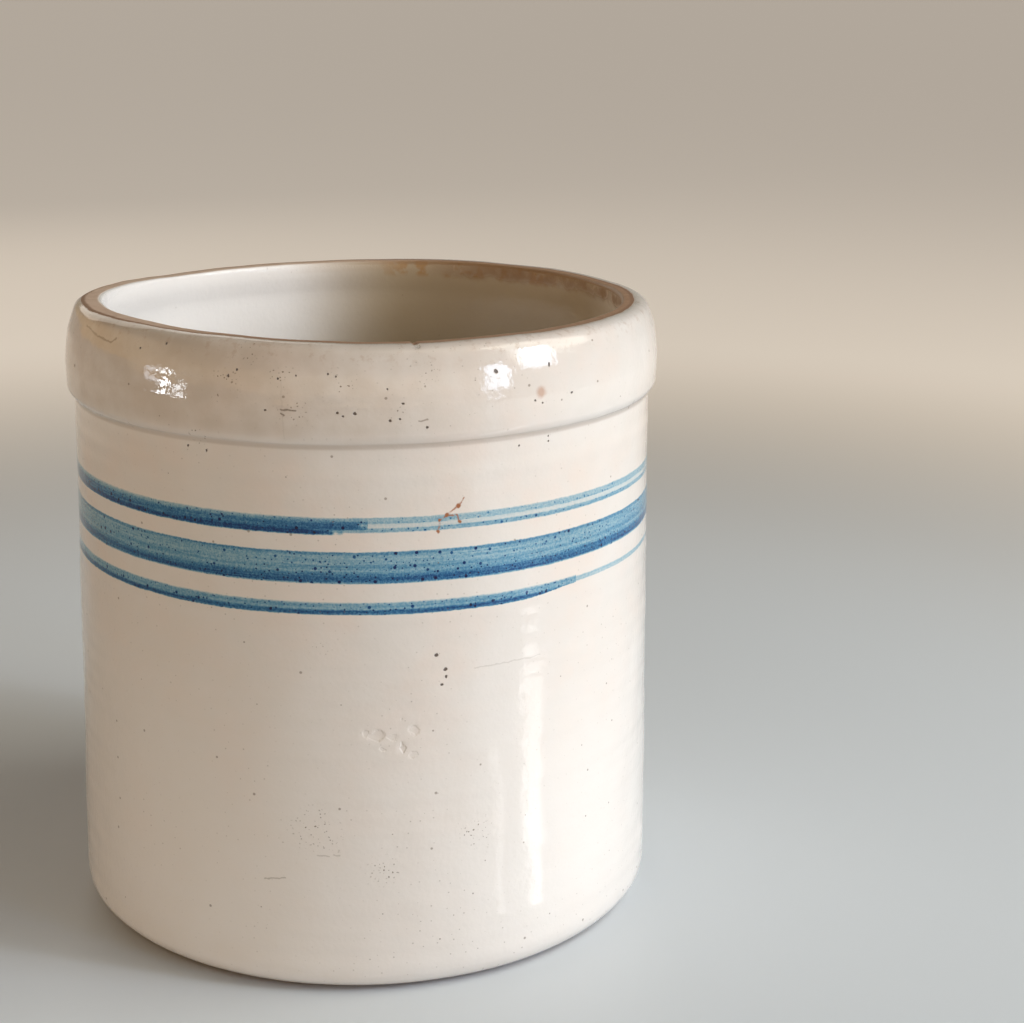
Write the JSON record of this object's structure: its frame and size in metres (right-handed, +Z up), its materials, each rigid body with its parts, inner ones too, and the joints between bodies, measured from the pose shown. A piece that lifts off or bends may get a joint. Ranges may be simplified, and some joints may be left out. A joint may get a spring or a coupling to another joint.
{
  "type": "stoneware crock fermenter",
  "caption": "Straight-sided open stoneware crock with a thick rolled collar and blue brush bands, with half-moon weights inside for keeping vegetables under brine.",
  "frame": {"origin": "centre of the crock's flat underside, on the surface it stands on", "axes": "+Z up along the crock's axis, -Y towards the side where the brush bands end, +X to the right seen from there"},
  "size_m": [0.2406, 0.2406, 0.2495],
  "materials": {
    "glazed_stoneware": "glossy cream glaze with three blue brush bands, a bare brown ring on the rim and an unglazed base",
    "bare_stoneware": "unglazed fired stoneware, matte"
  },
  "bodies": {
    "crock": {"crock": "glazed_stoneware"},
    "weight_left": {"weight_left": "bare_stoneware"},
    "weight_right": {"weight_right": "bare_stoneware"}
  },
  "joints": [
    {"name": "weight_left_lift", "type": "slide", "parent": "crock", "child": "weight_left", "axis": [0, 0, 1], "range_m": [0, 0.25]},
    {"name": "weight_right_lift", "type": "slide", "parent": "crock", "child": "weight_right", "axis": [0, 0, 1], "range_m": [0, 0.25]}
  ]
}
